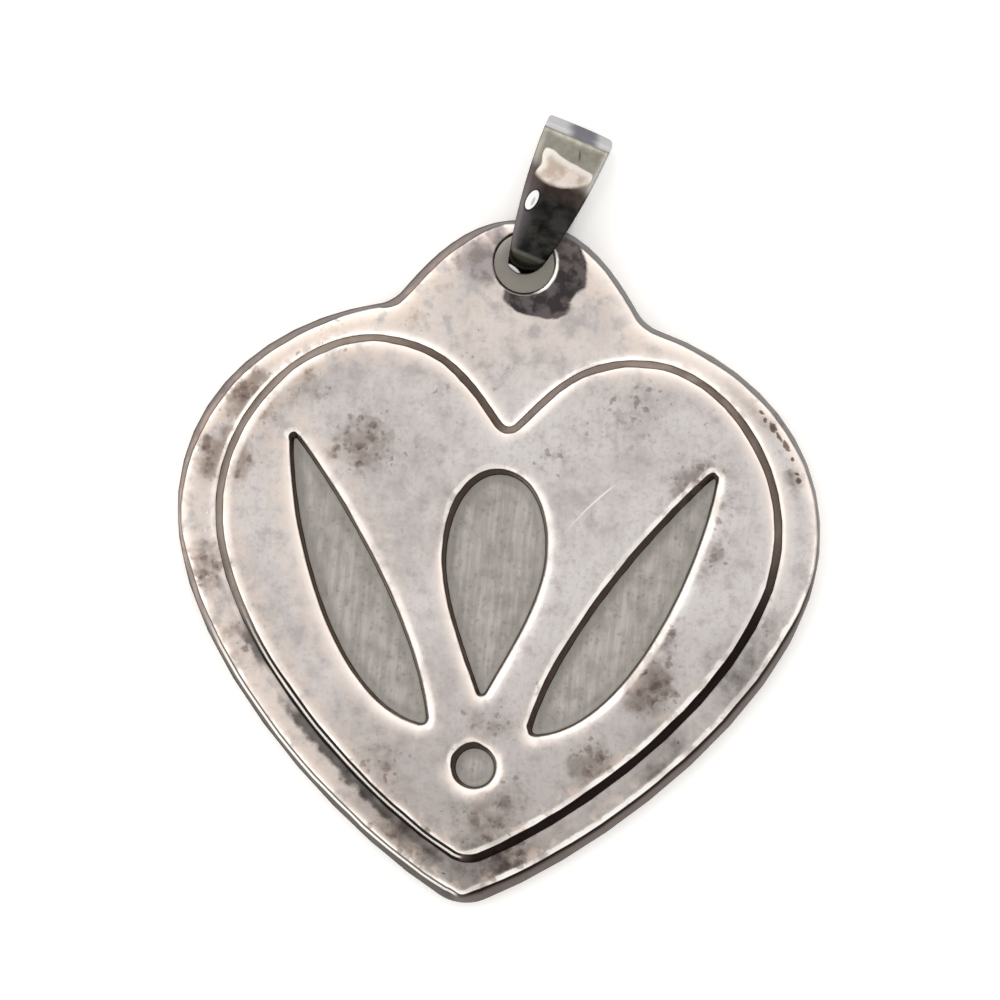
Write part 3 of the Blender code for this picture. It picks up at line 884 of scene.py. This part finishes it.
plateWalls = [
    # tarnished walls with painted light and shade: pink in spots on the left, which faces the light, a painted
    # highlight on walls that face down to the left, darker there, and dark brown near the top of walls that
    # face down to the right
    ("wall", "over", "7F7875", "wallTone", "6E6562"),
    ("wall", "tint", "787676", "upRight"),
    ("wall", "tint", "64605D", "lowLeft"),
    ("wallSpots", "range", "blot", 0.42, 0.58, 0.35, 0.9),
    ("wall", "tint", "B09A92", "pastWall", -0.30, -0.16, "wallSpots", "left"),
    ("wall", "tint", "2A1F1B", "pastWall", -0.26, -0.08, 1, "lowRight"),
    ("wall", "tint", "FFFCF6", "pastWall", -0.23, -0.18, 1, "lowLeft"),
    # painted shade: a thin dark line under the rim, except at the upper right, and another at the foot
    ("lineWidth", "MULTIPLY_ADD", "lowLeft", -0.06, -0.06),
    ("linePast", "-", "pastWall", "lineWidth"),
    ("notUpRight", "-", 1.0, "upRight"),
    ("wall", "tint", "3A302C", "linePast", 0.0, 0.04, 0.85, "notUpRight"),
    ("footShare", "range", "wallDark", 0.55, 0.2, 0, 0.8),
    ("wall", "tint", "45403C", "rimDistance", 0.11, 0.05, 1, "footShare"),
]
silverSkin = [
    ("colour", "over", "face", "onWall", "wall"),
    ("roughFace", "range", "mottle", 0.3, 0.7, 0.42, 0.34),
    ("roughSpots", "*", "softSpots", 0.25),
    ("roughness", "+", "roughFace", "roughSpots"),
    ("grainHeight", "*", "fleck", 0.5),
    ("streakHeight", "*", "streak", 0.3),
    ("height", "+", "grainHeight", "streakHeight"),
    ("pits", "*", "softSpots", 0.4),
    ("height", "-", "height", "pits"),
]
plateOnly = [
    *[(name, "measured") for name in ("besideStep", "stepWayX", "stepWayY", "sunk", "holeRim", "holeLight")],
    # the sunk floor of the windows, darkened beside their walls with painted shade
    ("floorTone", "range", "streak", 0.34, 0.68, 0, 0.7),
    ("floor", "over", "A8A19E", "floorTone", "C6BFBC"),
    ("floor", "tint", "8B847F", "mottle", 0.42, 0.66, 0.4),
    ("floor", "tint", "736A63", "dot", 0.42, 0.75, 0.3),
    ("floor", "tint", "78776F", "besideStep", 0.70, 0.05, 0.7),
    ("face", "tint", "floor", "sunk"),
    # painted shade: a dark ragged band in the corner below the raised heart's lower left wall
    ("openStep", "-", 1.0, "sunk"),
    ("grooveWay", "facing", "stepWay", -124, 0.78, 0.95),
    ("grooveRag", "*", "blot", 0.9),
    ("grooveAway", "-", "besideStep", "grooveRag"),
    ("grooveOn", "range", "stretch", 0.38, 0.56, 0.3, 1),
    ("face", "tint", "34302F", "grooveAway", 0.12, -0.20, 0.85, "grooveOn", "grooveWay", "openStep"),
    # painted highlight on the solder at the foot of the raised heart, where its edge faces up and up to the
    # right
    ("stepGlow", "facing", "stepWay", 40, 0.3, 0.9),
    ("stepGlow", "*", "stepGlow", "openStep"),
    ("face", "tint", "F3E9E2", "besideStep", 0.85, 0.10, 0.75, "stepGlow"),
    ("stepUp", "facing", "stepWay", 80, -0.25, 0.25),
    ("stepUp", "*", "stepUp", "openStep"),
    ("footWorn", "range", "mottle", 0.36, 0.50, 0.35, 1),
    ("face", "tint", "FFFAF2", "besideStep", 0.20, 0.08, 1, "stepUp", "footWorn"),
    # the hole's mouth: painted shade as a dark line round it, and a painted highlight where light is caught on
    # the right of its wall
    ("holeShade", "range", "holeLight", 0.2, 0.9, 0.12, 0.22),
    ("holeOut", "-", "holeRim", "holeShade"),
    ("face", "tint", "211B19", "holeOut", 0.05, -0.02, 0.9),
    ("face", "tint", "FFFFFA", "holeRim", 0.24, 0.19, 1, "holeLight"),
]
margins = [
    # a lilac bloom beside the hole
    *ovals("bloom", [(-2.3, 12.9, 0, 1.15, 1.3), (-1.45, 14.25, 40, 0.55, 0.8)], 0.9, "mottle", 2.0),
    ("bloomTone", "range", "blot", 0.42, 0.58),
    ("bloomColour", "over", "6C6463", "bloomTone", "9C9196"),
    ("face", "tint", "bloomColour", "bloom", 0.30, 0.85, 0.75),
    # rust where the rim was knocked
    *ovals("rust", [
        (13.18, 6.06, 40, 0.17, 0.28), (13.52, 5.64, 35, 0.09, 0.30), (13.93, 5.22, 38, 0.14, 0.26),
        (12.56, 6.75, 60, 0.08, 0.17), (14.60, 3.88, 70, 0.07, 0.13), (14.69, 3.54, 10, 0.15, 0.19),
        (14.30, 4.60, 15, 0.07, 0.12), (12.75, 6.42, 20, 0.10, 0.14), (13.2, 2.6, 50, 0.12, 0.2),
    ], 0.9, "fleck", 1.6),
    ("rustColour", "over", "9A8271", "rust", "4A362E"),
    ("face", "tint", "rustColour", "rust", 0.35, 0.62, 0.85),
    # black sulphide left round the hole
    *ovals("stain", [
        (2.05, 13.3, 24, 1.0, 1.65), (1.9, 12.0, -30, 0.85, 1.2), (0.85, 11.15, 84, 0.72, 1.75),
    ], 0.35, "mottle", 1.5),
    ("offHole", "range", "holeOut", 0.0, 0.05, 0, 0.95),
    ("stainTone", "range", "blot", 0.42, 0.60),
    ("stainColour", "over", "221D1F", "stainTone", "5A5154"),
    ("face", "tint", "stainColour", "stain", 0.30, 0.70, 1, "offHole"),
]
raisedOnly = [  # a fine scratch, slightly bowed, that fades towards its lower end
    ("scratch", "turned", (4.35, 1.15, 0), 49.6),
    ("scratchBow", "chain", "scratchX", "*", "scratchX", "*", 0.035),
    ("scratchAcross", "chain", "scratchY", "+", "scratchBow", "ABSOLUTE", 0),
    ("scratchStart", "range", "scratchX", -1.9, 0.6, 0.12, 1),
    ("scratchEnd", "range", "scratchX", 1.95, 1.3),
    ("scratchFar", "range", "scratchX", -1.95, -1.75),
    ("face", "tint", "FFF8F0", "scratchAcross", 0.07, 0.015, 0.75, "scratchStart", "scratchEnd", "scratchFar"),
]
leftRim = [("face", "tint", "F8F0EA", "pastWall", 0.46, 0.22, 0.8, "left", "rubbed")]  # rubbed more widely, and a painted highlight on the left, which faces the light

# Polished sterling silver gone dark: the strip is smooth, so a thin sulphide film of unlike depth
# shows as charcoal, olive and straw. Its bright patch, pale lines, dent and facet are painted highlights and
# reflections, and its crease and foot carry painted shade.

bailMarks = [
    ("bail", "turned", onBail(0, 0), -bail["lean"]),
    ("fromRight", "measured"),
    ("film", "grain", 0.9, 4, 0.6, (2, 5, 1)),  # film of unlike depth, in patches of a millimetre
    ("fine", "grain", 2.6, 4, 0.6, (4, 1, 3)),  # and of 0.4 mm
    ("bend", "grain", 0.8, 1, 0.5, (8, 3, 2)),  # softly uneven borders
    ("bendShift", "range", "bend", 0.3, 0.7, -0.09, 0.09),
    ("onFront", "range", "bailZ", 1.0, 1.3),
    ("onFoot", "range", "bailZ", -0.2, 0.1),
    ("thin", "range", "film", 0.38, 0.68),
    ("metal", "over", "101210", "thin", "454441"),
    ("metal", "tint", "2C2B2E", "bend", 0.40, 0.60, 0.4),
    ("metal", "tint", "746D70", "bailX", -0.40, -1.2, 0.65),
    ("metal", "tint", "4E3F3A", "bailY", 3.5, 4.9, 0.55),
    # painted shade: the tongue at the foot, turning down into the hole, is dark olive, below a pale painted
    # highlight where the strip bends
    ("metal", "tint", "38372E", "bailY", 1.05, 0.85, 0.85),
    ("bendY", "chain", "bailY", "-", 1.02, "ABSOLUTE", 0),
    ("metal", "tint", "6E6C64", "bendY", 0.16, 0.04, 0.4),
    # the grey upper part, with a painted highlight along its right edge and painted shade towards its left edge
    ("upperEdge", "chain", "bailX", "*", -0.15, "+", "bendShift"),
    ("upper", "-", "bailY", "upperEdge"),
    ("upperTone", "range", "fine", 0.35, 0.65),
    ("grey", "over", "979387", "upperTone", "A8A499"),
    ("grey", "tint", "85807B", "bailX", -0.85, -1.40, 0.5),
    ("grey", "tint", "BEBDBB", "fromRight", 0.22, 0.10, 0.65),
    ("metal", "tint", "grey", "upper", 4.9, 5.6, 1),
    ("nick", "oval", onBail(0.45, 6.6), 0, (0.045, 0.27), 0.3),
    ("metal", "tint", "3C3A36", "nick", "onFront", 0.65),
    # the bright patch, a painted reflection with a whiter painted highlight in it: a nearly straight upper
    # edge, a bowed lower one
    ("patchTop", "chain", "bailX", "*", -0.11, "+", 6.20, "-", "bailY"),
    ("patchLow", "chain", "bailX", "+", 0.30, "*", "patchLow", "*", -0.26, "+", "bailY", "-", 4.60),
    ("patchSide", "chain", "bailX", "-", 0.12, "ABSOLUTE", 0),
    ("patchSide", "-", 1.34, "patchSide"),
    ("patchIn", "SMOOTH_MIN", "patchTop", "patchSide", 0.3),
    ("patchIn", "SMOOTH_MIN", "patchIn", "patchLow", 0.3),
    ("patchIn", "+", "patchIn", "bendShift"),
    ("brightLow", "range", "patchLow", -0.02, 0.24),
    ("brightTone", "range", "film", 0.42, 0.58),
    ("brightColour", "over", "D2C0B1", "brightTone", "F6E9E0"),
    ("patchHigh", "range", "patchLow", 0.10, 0.45),
    ("brightColour", "tint", "FFFAF2", "patchIn", 0.46, 0.12, 0.95, "patchHigh"),
    ("metal", "tint", "brightColour", "patchIn", -0.03, 0.06, 1, "brightLow", "onFront"),
    # the crease, darkened with painted shade, and the bluish band beyond it
    ("creaseY", "-", "bailY", bail["crease"]),
    ("band", "range", "creaseY", 0.0, 0.06),
    ("bandX", "+", "bailX", "bendShift"),
    ("bandStart", "range", "bandX", -0.8, -0.1),
    ("bandEnd", "range", "bandX", 1.2, 0.7),
    ("bandTone", "*", "bandStart", "bandEnd"),
    ("bandColour", "over", "D3D3D5", "bandTone", "86838C"),
    ("metal", "tint", "bandColour", "band"),
    ("creaseAway", "ABSOLUTE", "creaseY", 0),
    ("metal", "tint", "5A5856", "creaseAway", 0.07, 0.02, 0.5),
    # a painted highlight as of a small dent near the left edge: a white oval in a painted dark rim, grey in the
    # middle
    ("dentDark", "oval", onBail(-0.87, 3.65), -24, (0.32, 0.62), 0.07),
    ("metal", "tint", "1E1E1C", "dentDark", "onFront"),
    ("dentLight", "oval", onBail(-0.88, 3.66), -24, (0.26, 0.53), 0.07),
    ("metal", "tint", "FFFFFF", "dentLight", "onFront"),
    ("dentHollow", "oval", onBail(-0.80, 3.60), -20, (0.07, 0.22), 0.5),
    ("metal", "tint", "C9C9C7", "dentHollow"),
    # a painted highlight low on the left of the foot: a white oval that is not metal
    ("facet", "oval", onBail(-0.38, 0.17), 58, (0.085, 0.38), 0.25),
    ("facet", "*", "facet", "onFoot"),
    ("colour", "over", "metal", "facet", "FFFFFF"),
    ("metallic", "-", 1.0, "facet"),
    ("gloss", "range", "fine", 0.3, 0.7, 0.24, 0.15),
    ("roughness", "MULTIPLY_ADD", "band", 0.3, "gloss"),
    ("height", "*", "fine", 1.0),
]


# The pieces

plateBody = makePlate()
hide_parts("heart_plate")
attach(plateBody, "pendant")
plateBody.data.materials.append(finishMaterial(
    "worn sterling silver plate, satin",
    wornMarks + silverFace + paleMargin + tarnish + plateOnly + rims + margins + plateWalls + silverSkin,
    bumpStrength=0.25, bumpDepth=0.04,
))

raisedBody = makeRaisedHeart()
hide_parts("raised_heart")
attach(raisedBody, "pendant")
# the raised sheet carries painted highlights on its rims and painted shade on its walls
raisedBody.data.materials.append(finishMaterial(
    "worn sterling silver sheet, rubbed bright",
    wornMarks + silverFace + tarnish + raisedOnly + rims + leftRim + raisedWalls + silverSkin,
    bumpStrength=0.25, bumpDepth=0.04,
))

bailBody = makeBail()
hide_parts("bail")
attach(bailBody, "bail")
bailBody.data.materials.append(finishMaterial(
    "polished sterling silver strip, dark with tarnish", bailMarks,
    bumpStrength=0.15, bumpDepth=0.03, grazing="A6A7AA",  # the film takes light at a glancing angle
))


# Board, light and camera

stage = {
    "size": 0.9, "board": "F4F3F1", "boardGap": 0.01, "boardRoughness": 0.9, "glow": 0.30,
    "tipY": -19.05, "bailY": 20.3, "bailZ": -0.892,  # the heart's tip and the bail's back rest on the board
    # painted shade on the board where little sky reaches it: its colour and glow there, how far it looks, and
    # the sky shares between full shade and none
    "paintedShadeBoard": "E1D8C2", "paintedShadeGlow": 0.07, "shadeReach": 3.0, "shadeSky": (0.30, 0.46), "skySamples": 12,
    "across": 0.05, "cameraHeight": 0.7, "middle": (-0.052, 1.14), "lean": 5.6,  # metres, then mm and degrees
    "sensor": 36, "clip": (0.01, 10), "lightLean": (-0.25, 0.25),  # the room is brighter to the left and above
    # brightness of the room from the horizon up to straight overhead
    "light": [(0.0, 0.10), (0.10, 0.14), (0.28, 0.50), (0.46, 1.35), (0.80, 1.45), (0.93, 0.95), (1.0, 0.82)],
}


def makeBoard():
    shape = bmesh.new()
    bmesh.ops.create_grid(shape, x_segments=2, y_segments=2, size=stage["size"] / 2)
    board = linkPiece("board", finishMesh(shape, "board"))
    run = stage["bailY"] - stage["tipY"]
    board.rotation_euler = (math.atan2(stage["bailZ"], run), 0, 0)
    board.location = (0, stage["tipY"] * mm, -stage["boardGap"] * mm)
    material, tree, shader = newMaterial("matt white board")
    # painted shade: where ambient occlusion finds little sky, as in the heart's hole, the board is coloured
    # darker and glows less; lit is 0 there and 1 in the open
    reach = stage["shadeReach"] * mm
    sky = addNode(tree, "AmbientOcclusion", {"samples": stage["skySamples"]}, Distance=reach)["AO"]
    low, high = stage["shadeSky"]
    lit = addNode(tree, "MapRange", i0=sky, i1=low, i2=high)[0]
    shaded, bright = fromHex(stage["paintedShadeBoard"]), fromHex(stage["board"])
    ground = addNode(tree, "Mix", {"data_type": "RGBA"}, i0=lit, i6=shaded, i7=bright)
    glow = addNode(tree, "MapRange", i0=lit, i3=stage["paintedShadeGlow"], i4=stage["glow"])
    setInputs(
        tree, shader, Base_Color=ground[2], Roughness=stage["boardRoughness"],
        Emission_Strength=glow[0], Emission_Color=fromHex("FFFFFF"),
    )
    board.data.materials.append(material)


def makeWorld():
    world = bpy.data.worlds.new("soft studio")
    bpy.context.scene.world = world
    world.use_nodes = True
    tree = world.node_tree
    background = tree.nodes["Background"]
    direction = addNode(tree, "TexCoord")["Generated"]
    parts = addNode(tree, "SeparateXYZ", i0=direction)
    height = addNode(tree, "ValToRGB", i0=parts[2])
    ramp = height[0].node.color_ramp
    ramp.interpolation = "EASE"
    while len(ramp.elements) < len(stage["light"]):
        ramp.elements.new(0.5)
    for element, (position, level) in zip(ramp.elements, stage["light"]):
        element.position = position
        element.color = (level, level, level, 1)
    strength = 1.0
    for part, lean in zip(parts, stage["lightLean"]):
        strength = addNode(tree, "Math", {"operation": "MULTIPLY_ADD"}, i0=part, i1=lean, i2=strength)[0]
    level = addNode(tree, "Math", {"operation": "MULTIPLY"}, i0=height[0], i1=strength)[0]
    setInputs(tree, background, Strength=level, Color=fromHex("FFFDFB"))


def makeCamera():
    lens = bpy.data.cameras.new("camera")
    lens.type = "PERSP"
    lens.sensor_width = stage["sensor"]
    lens.lens = stage["sensor"] * (stage["cameraHeight"] - plate["thickness"] * mm) / stage["across"]
    lens.clip_start, lens.clip_end = stage["clip"]
    camera = bpy.data.objects.new("camera", lens)
    camera.location = (stage["middle"][0] * mm, stage["middle"][1] * mm, stage["cameraHeight"])
    camera.rotation_euler = (0, 0, math.radians(stage["lean"]))
    bpy.context.scene.collection.objects.link(camera)
    bpy.context.scene.camera = camera


makeBoard()
makeWorld()
makeCamera()
bpy.context.scene.view_settings.view_transform = "Standard"
